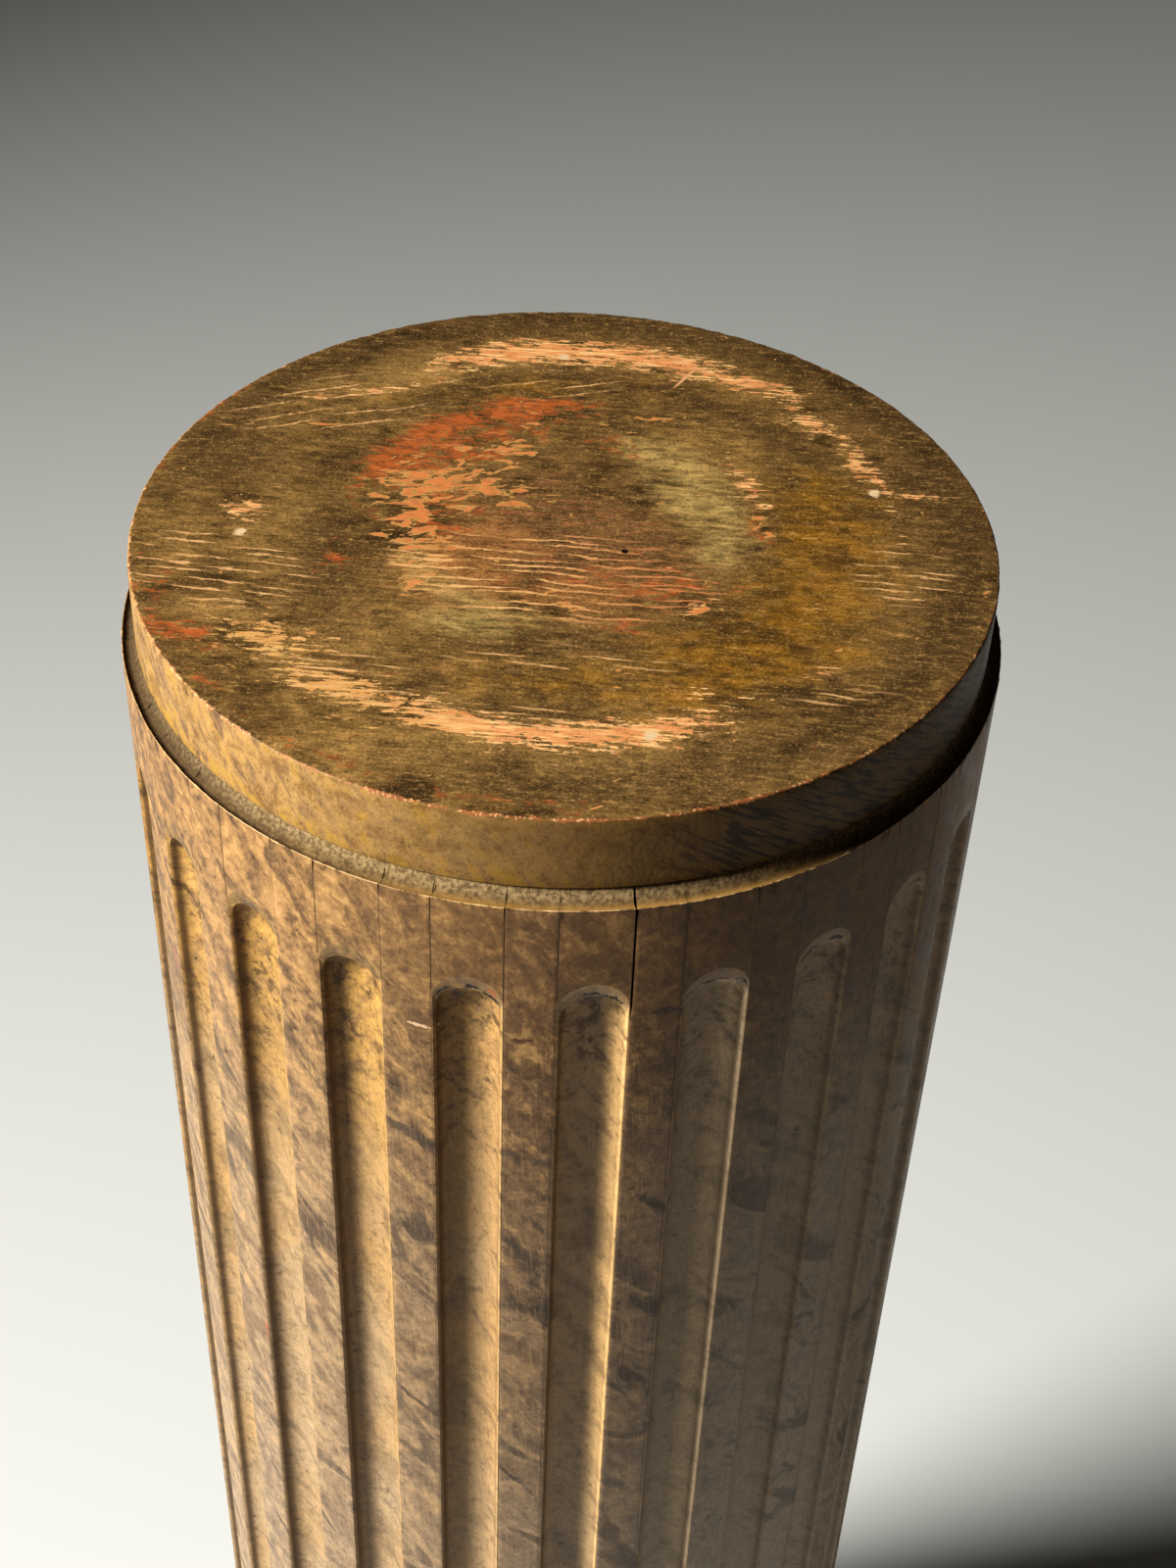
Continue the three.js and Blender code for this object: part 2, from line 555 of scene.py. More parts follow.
class Paint:
    """One paint, mixed from nodes. Each method adds a node and gives what comes out of it."""

    def __init__(self, name):
        self.material = bpy.data.materials.new(name)
        self.material.use_nodes = True
        self.nodes = self.material.node_tree.nodes
        self.links = self.material.node_tree.links
        self.shader = self.nodes["Principled BSDF"]
        where = self.nodes.new("ShaderNodeTexCoord")
        self.place = self.vector("SCALE", where.outputs["Object"], factor=1 / MM)

    def feed(self, socket, value):
        if isinstance(value, bpy.types.NodeSocket):
            self.links.new(value, socket)
        else:
            socket.default_value = value

    def vector(self, operation, first, second=None, factor=None):
        node = self.nodes.new("ShaderNodeVectorMath")
        node.operation = operation
        self.feed(node.inputs[0], first)
        if second is not None:
            self.feed(node.inputs[1], second)
        if factor is not None:
            self.feed(node.inputs["Scale"], factor)
        is_number = operation in ("DISTANCE", "LENGTH", "DOT_PRODUCT")
        return node.outputs["Value" if is_number else "Vector"]

    def sum(self, operation, first, second=0.0, third=0.0):
        node = self.nodes.new("ShaderNodeMath")
        node.operation = operation
        for socket, value in zip(node.inputs, (first, second, third)):
            self.feed(socket, value)
        return node.outputs[0]

    def add(self, first, *others):
        for other in others:
            first = self.sum("ADD", first, other)
        return first

    def less(self, first, second):
        return self.sum("SUBTRACT", first, second)

    def times(self, first, *others):
        for other in others:
            first = self.sum("MULTIPLY", first, other)
        return first

    def larger(self, first, second):
        return self.sum("MAXIMUM", first, second)

    def size(self, value):
        return self.sum("ABSOLUTE", value)

    def split(self, place):
        node = self.nodes.new("ShaderNodeSeparateXYZ")
        self.feed(node.inputs[0], place)
        return node.outputs[0], node.outputs[1], node.outputs[2]

    def join(self, x, y, z):
        node = self.nodes.new("ShaderNodeCombineXYZ")
        for socket, value in zip(node.inputs, (x, y, z)):
            self.feed(socket, value)
        return node.outputs[0]

    def laid(self, place, stretch, turn=0.0):
        """The place for a pattern that is stretched along its axes and then turned about +Z, in degrees."""
        node = self.nodes.new("ShaderNodeMapping")
        node.vector_type = "TEXTURE"
        self.feed(node.inputs["Vector"], place)
        node.inputs["Rotation"].default_value = (0, 0, math.radians(turn))
        node.inputs["Scale"].default_value = stretch
        return node.outputs[0]

    def cloud(self, place, grain, detail=3, roughness=0.55, wobble=0.0, flat=False):
        """Cloudy noise whose lumps are about one grain long, in the XY plane alone if it is flat."""
        node = self.nodes.new("ShaderNodeTexNoise")
        node.noise_dimensions = "2D" if flat else "3D"
        self.feed(node.inputs["Vector"], place)
        node.inputs["Scale"].default_value = 1 / grain
        node.inputs["Detail"].default_value = detail
        node.inputs["Roughness"].default_value = roughness
        node.inputs["Distortion"].default_value = wobble
        return node.outputs[0]

    def dashes(self, place, tilt, gap, run, width, share):
        """Straight broken lines with tapered ends, laid at a tilt in degrees.

        They are about a gap apart, up to a run long and a width thick, and a share of them is there.
        """
        lengthways, sideways = self.split(self.laid(place, (1, 1, 1), tilt))[:2]
        rows = self.times(sideways, 1 / gap)
        row = self.sum("FLOOR", rows)
        steps = self.add(self.times(lengthways, 1 / run), self.times(self.own(row), 7))
        step = self.sum("FLOOR", steps)
        drawn = self.own(self.add(self.times(row, 0.37), self.times(step, 5.71)))
        height = self.add(0.2, self.times(drawn, 0.6))
        aside = self.times(self.size(self.less(self.less(rows, row), height)), gap)
        from_middle = self.size(self.less(self.less(steps, step), 0.5))
        half_width = self.band(from_middle, 0.2, 0.5, width / 2, 0.0)
        line = self.band(self.less(half_width, aside), -0.12, 0.12)
        return self.times(line, self.sum("LESS_THAN", drawn, share))

    def own(self, number):
        """A random share that belongs to a number."""
        node = self.nodes.new("ShaderNodeTexWhiteNoise")
        node.noise_dimensions = "1D"
        self.feed(node.inputs["W"], number)
        return node.outputs["Value"]

    def mask(self, name):
        """A mask that is painted on the points of the mesh."""
        node = self.nodes.new("ShaderNodeAttribute")
        node.attribute_name = name
        return node.outputs["Fac"]

    def band(self, value, start, end, low=0.0, high=1.0):
        """A smooth step from low at start to high at end."""
        node = self.nodes.new("ShaderNodeMapRange")
        node.interpolation_type = "SMOOTHSTEP"
        for socket, amount in zip(node.inputs, (value, start, end, low, high)):
            self.feed(socket, amount)
        return node.outputs[0]

    def near(self, value, middle, start, end):
        """A smooth step on both sides of a middle: 0 from start outwards, 1 from end inwards."""
        return self.band(self.size(self.less(value, middle)), start, end)

    def swing(self, noise, amount):
        """How far a noise swings about its middle, made larger by an amount."""
        return self.times(self.less(noise, 0.5), amount)

    def over(self, under, upper, cover):
        """One colour laid over another, where cover says."""
        node = self.nodes.new("ShaderNodeMix")
        node.data_type = "RGBA"
        self.feed(node.inputs[0], cover)
        self.feed(node.inputs[6], under)
        self.feed(node.inputs[7], upper)
        return node.outputs[2]

    def finish(self, colour, roughness, height, relief, gloss):
        """Set the shader, with the height as relief in millimetres and the gloss as its specular level."""
        bump = self.nodes.new("ShaderNodeBump")
        self.feed(bump.inputs["Height"], height)
        bump.inputs["Distance"].default_value = relief * MM
        self.links.new(bump.outputs[0], self.shader.inputs["Normal"])
        self.feed(self.shader.inputs["Base Color"], colour)
        self.feed(self.shader.inputs["Roughness"], roughness)
        self.shader.inputs["Specular IOR Level"].default_value = gloss
        return self.material


# The shaft's paint: golden and brown mottle at the top, an even beige below, more golden in the flutes

def mix_shaft_paint():
    paint = Paint("mottled_shaft_paint")
    place = paint.place
    x, y, height = paint.split(place)
    radius = paint.vector("LENGTH", paint.vector("MULTIPLY", place, (1, 1, 0)))
    turned = paint.split(paint.laid(place, (1, 1, 1), math.degrees(SEAM)))
    angle = paint.add(paint.sum("ARCTAN2", turned[0], paint.times(turned[1], -1)), SEAM)
    along = paint.times(angle, SHAFT_RADIUS / MM)
    depth = paint.less(SHAFT_RADIUS / MM, radius)
    below = paint.less(RIM / MM, height)

    # Where the place lies in its pair of staves
    pair = paint.times(paint.less(angle, FIRST_FLUTE), 1 / PITCH)
    number = paint.sum("ROUND", pair)
    aside = paint.times(paint.less(pair, number), PITCH * SHAFT_RADIUS / MM)
    sideways = paint.size(aside)
    joint = FLUTED_WIDTH / 2 / MM
    from_joint = paint.size(paint.less(sideways, joint))
    side = paint.sum("SIGN", aside)
    on_plain = paint.sum("GREATER_THAN", sideways, joint)
    own_stave = paint.own(paint.add(number, paint.times(side, on_plain, 0.5)))
    own_joint = paint.own(paint.add(number, paint.times(side, 0.25)))

    # Distance to the outline of the flute and to the foot of its lip, less than nothing inside them
    past_end = paint.larger(paint.less(height, TOP_CENTRE / MM), paint.less(FOOT_CENTRE / MM, height))
    to_centre = paint.vector("LENGTH", paint.join(aside, paint.larger(past_end, 0.0), 0.0))
    from_flute = paint.less(to_centre, FLUTE_HALF / MM)
    in_flute = paint.band(from_flute, 0.15, -0.5)
    past_lip = paint.add(past_end, END_LIP / MM)
    to_lip = paint.vector("LENGTH", paint.join(aside, paint.larger(past_lip, 0.0), 0.0))
    from_lip = paint.less(to_lip, (FLUTE_HALF - LIP_SIDE) / MM)
    at_end = paint.band(past_lip, 4.0, 7.0)

    # Noises: blotches, flecks, smudges of the brush, smoke, fine fibres, a slow drift and grit
    unrolled = paint.join(along, height, 0.0)
    slanted = paint.laid(unrolled, (17, 8, 1), -62)
    blotch = paint.cloud(slanted, 1, detail=5, roughness=0.68, wobble=0.7, flat=True)
    fleck = paint.cloud(place, 3.8, detail=3, roughness=0.7)
    smudge = paint.cloud(paint.laid(unrolled, (9, 5, 1), 42), 1, detail=3, roughness=0.6, flat=True)
    smoke = paint.cloud(paint.laid(unrolled, (44, 17, 1), -48), 1, detail=3, wobble=0.8, flat=True)
    fibres = paint.cloud(paint.laid(unrolled, (15, 0.8, 1), -86), 1, detail=2, flat=True)
    drift = paint.cloud(place, 70, detail=1)
    grit = paint.cloud(place, 1.3, detail=2, roughness=0.6)
    mottle = paint.add(paint.times(blotch, 0.58), paint.times(fleck, 0.42))

    # Plain staves
    lower = paint.band(below, 12, 210)
    ground = paint.over(tone(151, 112, 67), tone(161, 131, 95), lower)
    ground = paint.over(ground, tone(116, 91, 72), paint.times(paint.band(own_stave, 0.3, 1.0), 0.35))
    # Darker paint and painted shade on the side facing front right, most near the top
    facing = paint.vector("DOT_PRODUCT", place, (math.sin(SHADED_SIDE), -math.cos(SHADED_SIDE), 0))
    facing = paint.band(facing, 0.55 * SHAFT_RADIUS / MM, SHAFT_RADIUS / MM)
    side_shade = paint.times(facing, paint.band(below, 230, 10, 0.24, 0.8))
    ground = paint.over(ground, tone(92, 63, 35), side_shade)
    calm = paint.times(facing, paint.band(below, 70, 35))
    gold = paint.times(paint.band(mottle, 0.5, 0.62), paint.band(lower, 0, 1, 0.66, 0.34))
    gold = paint.times(gold, paint.band(calm, 0, 1, 1.0, 0.4), paint.band(x, 0, 45, 1.0, 0.4))
    ground = paint.over(ground, tone(178, 136, 82), gold)
    soft = paint.times(paint.band(smoke, 0.52, 0.36), paint.band(lower, 0, 0.6, 0.1, 0.7))
    ground = paint.over(ground, tone(108, 82, 58), soft)
    dark = paint.times(paint.band(mottle, 0.52, 0.4), paint.band(lower, 0, 1, 0.64, 0.26))
    dark = paint.times(dark, paint.band(calm, 0, 1, 1.0, 0.5))
    ground = paint.over(ground, tone(82, 58, 40), dark)
    # Painted light: paler and greyer on the right side lower down, standing in for light reflected from the
    # floor
    reflected_floor_light = paint.times(paint.band(x, 10, 85, 0.0, 0.5), paint.band(below, 30, 180))
    ground = paint.over(ground, tone(178, 156, 130), reflected_floor_light)

    # Flutes
    smudged = paint.times(paint.band(smudge, 0.44, 0.72), paint.band(lower, 0, 0.8, 1.0, 0.5))
    flute = paint.over(tone(182, 137, 66), tone(138, 102, 58), smudged)
    beige = paint.times(lower, paint.band(drift, 0.4, 0.65, 0.4, 0.9))
    flute = paint.over(flute, tone(174, 145, 107), beige)
    flute = paint.over(flute, tone(164, 140, 113), paint.band(x, -48, 40, 0.0, 0.9))
    # Two painted highlights and one painted shade on the right walls of the flutes in front
    for start, end, middle, far, close, cover, lighting_tone in RIGHT_WALL_LIGHTING:
        wall_lighting = paint.times(paint.band(aside, start, end), paint.near(x, middle, far, close))
        wall_lighting = paint.times(wall_lighting, paint.band(y, -20, -80, 0.0, cover))
        flute = paint.over(flute, tone(*lighting_tone), wall_lighting)
    # Painted shade on the left walls of the flutes left of the front
    left_wall_shade = paint.times(paint.band(aside, -2.0, -8.0), paint.near(x, -48, 45, 25), 0.45)
    flute = paint.over(flute, tone(84, 62, 44), left_wall_shade)
    dark = paint.times(paint.band(mottle, 0.48, 0.4), paint.band(lower, 0, 0.8, 0.7, 0.26))
    dark = paint.times(dark, paint.band(x, -10, 60, 1.0, 0.4))
    flute = paint.over(flute, tone(86, 61, 40), dark)
    colour = paint.over(ground, flute, paint.times(in_flute, 0.88))

    # Paler towards the foot, as painted light that falls more there
    light_towards_foot = paint.times(paint.band(below, 230, 420), paint.band(x, -60, 30, 0.16, 0.32))
    colour = paint.over(colour, tone(190, 168, 140), light_towards_foot)

    # Smoke that hangs across staves and flutes, and its darkest wisps
    haze = paint.times(paint.band(smoke, 0.53, 0.68), paint.band(below, 30, 110, 0.0, 0.66))
    for turn, down, long, tall, fall in SMOKE_WISPS:
        off_along = paint.times(paint.less(angle, math.radians(turn)), SHAFT_RADIUS / MM)
        off_down = paint.less(paint.less(below, down), paint.times(off_along, fall))
        off_wisp = paint.join(paint.times(off_along, 1 / long), paint.times(off_down, 1 / tall), 0.0)
        from_wisp = paint.add(paint.vector("LENGTH", off_wisp), paint.swing(blotch, 4))
        haze = paint.larger(haze, paint.band(from_wisp, 1.5, 0.4, 0.0, 0.8))
    haze = paint.times(haze, paint.band(in_flute, 0, 1, 1.0, 0.45))
    colour = paint.over(colour, tone(64, 53, 44), haze)

    # Fine brushwork and flecks over everything
    brushed = paint.band(below, 25, 90)
    dark_fibres = paint.times(paint.band(fibres, 0.54, 0.8, 0.0, 0.28), brushed)
    colour = paint.over(colour, tone(72, 52, 38), dark_fibres)
    pale_fibres = paint.times(paint.band(fibres, 0.46, 0.2, 0.0, 0.24), brushed)
    colour = paint.over(colour, tone(196, 156, 104), pale_fibres)
    colour = paint.over(colour, tone(56, 38, 28), paint.band(fleck, 0.35, 0.26, 0.0, 0.75))

    # A lively tone, more so at the top of the flutes
    lively = paint.add(paint.swing(grit, 0.8), paint.swing(fleck, 0.8), paint.swing(blotch, 0.9))
    livelier = paint.times(in_flute, paint.band(lower, 0.1, 0.6, 0.5, -0.2))
    lively = paint.times(lively, paint.add(1.0, livelier))
    colour = paint.vector("SCALE", colour, factor=paint.add(1.0, lively))

    # Lips of the flutes, darker on the left as painted shade, with a broken dark line along their foot,
    # painted shadow with grime
    lip = paint.times(paint.band(from_lip, -0.1, 0.35), in_flute, at_end)
    lip_light_and_shade = paint.over(tone(92, 71, 50), tone(146, 118, 88), paint.band(x, -50, 5))
    lip_light_and_shade = paint.over(lip_light_and_shade, tone(100, 78, 56), paint.band(fleck, 0.42, 0.62, 0.0, 0.8))
    colour = paint.over(colour, lip_light_and_shade, paint.times(lip, 0.6))
    ragged = paint.add(from_lip, paint.swing(mottle, 10))
    # Painted shadow with grime in the crease at the foot of the lip
    crease_shadow_and_grime = paint.times(paint.near(ragged, 0.8, 0.85, 0.3), at_end)
    crease_shadow_and_grime = paint.times(crease_shadow_and_grime, paint.band(smudge, 0.42, 0.56), paint.band(x, -70, -20, 0.2, 1.0))
    colour = paint.over(colour, tone(22, 15, 11), crease_shadow_and_grime)

    # Worn arrises on the flutes' right edges, partly wear and partly painted highlight, and painted shade
    # with grime inside the flutes' edges
    arris = paint.near(from_flute, -0.05, 0.6, 0.15)
    arris = paint.times(arris, paint.band(mottle, 0.36, 0.52), paint.band(at_end, 0, 1, 1.0, 0.35))
    arris = paint.times(arris, paint.band(aside, -3, 3), paint.band(x, 70, 30, 0.2, 0.7))
    colour = paint.over(colour, tone(200, 158, 98), arris)
    # Painted shade with grime just inside the flute's edge, more on its left side
    edge_shade_and_grime = paint.times(paint.band(from_flute, -2.4, -0.7), paint.band(depth, 0.6, 1.6))
    edge_shade_and_grime = paint.times(edge_shade_and_grime, paint.band(aside, 0, -5, 0.35, 0.75))
    colour = paint.over(colour, tone(70, 50, 33), edge_shade_and_grime)
    seam = paint.times(paint.band(from_joint, 0.34, 0.08), paint.band(mottle, 0.38, 0.54, 0.2, 1.0))
    seam = paint.times(seam, paint.band(from_flute, 0.2, 1.0), paint.band(own_joint, 0.15, 0.9, 0.15, 0.9))
    colour = paint.over(colour, tone(44, 32, 25), seam)

    # Marks of its own: a pale chip, red and dark rubs
    for turn, down, long, tall, mark_tone in SHAFT_MARKS:
        off_along = paint.times(paint.less(angle, math.radians(turn)), SHAFT_RADIUS / MM / long)
        off_down = paint.times(paint.less(below, down), 1 / tall)
        off_down = paint.less(off_down, paint.times(off_along, 0.4))
        from_mark = paint.vector("LENGTH", paint.join(off_along, off_down, 0.0))
        from_mark = paint.add(from_mark, paint.swing(fleck, 5))
        colour = paint.over(colour, tone(*mark_tone), paint.band(from_mark, 1.2, 0.6, 0.0, 0.8))

    # Ledge: dusty by the disc, golden in front, with a bright rim that is partly wear and partly painted
    # highlight
    on_ledge = paint.times(paint.band(depth, 0.35, 0.6), paint.band(below, 3.0, 2.0))
    ledge = paint.over(tone(80, 60, 34), tone(122, 96, 58), paint.band(paint.add(fleck, grit), 0.75, 1.25))
    ledge = paint.over(ledge, tone(64, 48, 29), paint.band(x, -60, -125, 0.0, 0.8))
    golden = paint.times(paint.near(angle, 0.12, 0.62, 0.3), paint.band(depth, 4.2, 1.6, 0.0, 0.8))
    ledge = paint.over(ledge, tone(150, 109, 48), golden)
    dust = paint.times(paint.band(depth, 3.4, 5.2), paint.band(grit, 0.36, 0.7, 0.1, 0.7))
    dust = paint.times(dust, paint.band(x, -135, -70, 0.3, 1.0))
    ledge = paint.over(ledge, tone(170, 142, 98), dust)
    colour = paint.over(colour, ledge, on_ledge)
    # Bright rim line, partly wear and partly painted highlight, a little more on the left
    rim = paint.times(paint.band(paint.size(below), 0.6, 0.25), paint.band(depth, 0.8, 0.4))
    whole = paint.add(mottle, paint.band(x, -40, -110, 0.0, 0.12))
    colour = paint.over(colour, tone(206, 166, 112), paint.times(rim, paint.band(whole, 0.43, 0.52)))

    # Bare wood on the joint faces and inside
    colour = paint.over(colour, tone(112, 84, 56), paint.band(depth, 7.5, 9.0))

    roughness = paint.larger(paint.band(blotch, 0.3, 0.7, 0.34, 0.5), on_ledge)
    return paint.finish(colour, roughness, fleck, relief=0.2, gloss=0.08)


# Masks on the disc, in millimetres from its centre

def oval(place, x, y, long, wide, tilt=0.0):
    """Inside a soft oval: 1 in its middle, 0.5 on its outline, 0 well outside."""
    turn = math.radians(tilt)
    off_x = place.x / MM - x
    off_y = place.y / MM - y
    lengthways = off_x * math.cos(turn) + off_y * math.sin(turn)
    sideways = off_y * math.cos(turn) - off_x * math.sin(turn)
    return max(0.0, 1 - math.hypot(lengthways / long, sideways / wide) / 2)


def arc(place, radius, start, end, wide, tips=14.0):
    """Inside a soft arc about the wear's centre, with its angles anticlockwise from +X."""
    off_x = place.x / MM - WEAR_CENTRE[0]
    off_y = place.y / MM - WEAR_CENTRE[1]
    middle = (start + end) / 2
    angle = math.degrees(math.atan2(off_y, off_x))
    past = abs((angle - middle + 180) % 360 - 180) - abs(end - start) / 2
    sideways = abs(math.hypot(off_x, off_y) - radius) / wide
    return max(0.0, 1 - math.hypot(sideways, max(0.0, past + tips / 2) / tips) / 2)


def paint_mask(piece, name, shapes):
    """Paint a mask on the points of the disc: the strongest of its shapes counts."""
    mask = piece.data.attributes.new(name, "FLOAT", "POINT")
    for point in piece.data.vertices:
        strengths = [strength * shape(point.co, *sizes) for shape, strength, *sizes in shapes]
        mask.data[point.index].value = max(strengths)


DISC_MASKS = {
    "salmon_wear": (
        (arc, 1.0, 111, 64, 110, 8),
        (arc, 1.0, 111, 243, 290, 6),
        (arc, 0.66, 112, 8, 62, 3),
        (oval, 0.95, 67, 96, 16, 6, -25),
        (oval, 0.85, 86, 71, 9, 6, -40),
        (oval, 0.85, 101, 45, 4, 14, 15),
        (oval, 0.85, 118, 27, 12, 2, -8),
        (oval, 0.95, -67, -87, 20, 7, -18),
        (oval, 0.78, -92, -63, 19, 10, -14),
        (oval, 0.75, -20, -104, 38, 4, -2),
        (oval, 0.72, 62, 30, 5, 16, 20),
        (oval, 0.75, 82, -72, 6, 4),
        (oval, 0.75, 40, -85, 8, 3),
        (oval, 0.85, -107, 7, 7, 6),
        (oval, 0.8, 44, -41, 7, 3, 30),
        (oval, 0.72, -70, 84, 34, 3, 18),
    ),
    "red_ground": (
        (arc, 1.0, 72, 92, 160, 8),
        (oval, 0.95, -38, 50, 34, 12, 32),
        (oval, 0.85, -62, 34, 16, 12, 40),
        (oval, 0.7, -46, 8, 14, 26, 8),
        (oval, 0.75, -74, -18, 6, 6),
        (oval, 0.7, -80, 4, 5, 4),
        (oval, 0.9, -121, -62, 15, 6, -12),
        (oval, 0.8, -131, -40, 6, 9),
        (oval, 0.62, 20, -28, 36, 10, -3),
        (oval, 0.7, 18, 52, 10, 5, -20),
        (oval, 0.72, 66, 2, 4, 9, 10),
        (oval, 0.75, 20, -52, 4, 5),
        (arc, 0.64, 143, 194, 268, 2.0),
        (arc, 0.62, 143, 104, 176, 1.4),
    ),
    "orange_chips": (
        (oval, 0.9, -46, 26, 18, 14, 35),
        (oval, 0.9, -50, 2, 9, 24, 8),
        (oval, 0.85, -22, 44, 11, 7, 15),
        (oval, 0.8, -26, 24, 18, 6, -18),
        (oval, 0.75, -47, -22, 8, 10),
        (oval, 0.8, -4, -41, 13, 3, -6),
        (oval, 0.75, 66, 8, 3, 8, 15),
        (oval, 0.8, 44, -41, 6, 4, 30),
        (oval, 0.7, 10, 66, 22, 3, 8),
    ),
    "orange_wash": (
        (oval, 1.0, -34, -14, 24, 24, -10),
        (oval, 0.9, -8, -34, 36, 14, -4),
        (oval, 0.7, -44, 26, 18, 18),
    ),
    "grain_lines": (
        (oval, 1.0, -4, -26, 56, 24, -4),
        (oval, 0.8, 22, -44, 32, 8, -3),
        (oval, 0.8, 48, -14, 40, 3, -9),
    ),
    "scratches": (
        (oval, 1.0, -112, -26, 30, 22, -10),
        (oval, 0.9, 112, -20, 18, 18),
        (oval, 0.8, -66, -82, 34, 16, -15),
        (oval, 0.75, -10, -100, 60, 9, -2),
        (oval, 0.7, 0, -70, 60, 12, -3),
        (oval, 0.6, 85, -85, 40, 12, 10),
    ),
    "rising_scratches": (
        (oval, 1.0, -78, 76, 42, 18, 18),
        (oval, 0.8, -10, 88, 40, 8, 10),
    ),
    "mustard_glaze": (
        (arc, 1.0, 86, -66, 14, 18),
        (oval, 1.0, 62, -68, 34, 16, 35),
        (oval, 0.7, 5, -82, 30, 9, -5),
        (oval, 0.6, -20, 84, 40, 8, 4),
    ),
    "grey_bloom": (
        (arc, 0.9, 52, -22, 68, 10),
        (oval, 1.0, 44, 16, 30, 11, -52),
        (arc, 0.7, 55, 198, 262, 8),
        (oval, 1.0, -28, -53, 16, 8, -10),
    ),
    "brown_centre": (
        (oval, 1.0, 0, -8, 46, 36),
        (oval, 0.7, -10, 25, 40, 22, 20),
    ),
    "dark_stain": (
        (oval, 1.0, -77, -18, 12, 34),
        (arc, 0.9, 134, -100, 170, 12),
        (arc, 0.8, 92, 20, 130, 7),
        (oval, 0.7, 0, -62, 40, 8),
        (oval, 0.8, 78, 8, 8, 24, -20),
        (oval, 0.8, -112, 40, 18, 26),
        (oval, 0.9, 122, 32, 18, 26),
    ),
    "gold_patches": (
        (oval, 0.5, -98, -26, 30, 54, 8),
        (oval, 0.8, -60, 92, 50, 16, 25),
        (oval, 0.9, 20, -122, 70, 16),
    ),
}


# The disc's paint: a dark glaze worn through in rings, with scratches along the grain

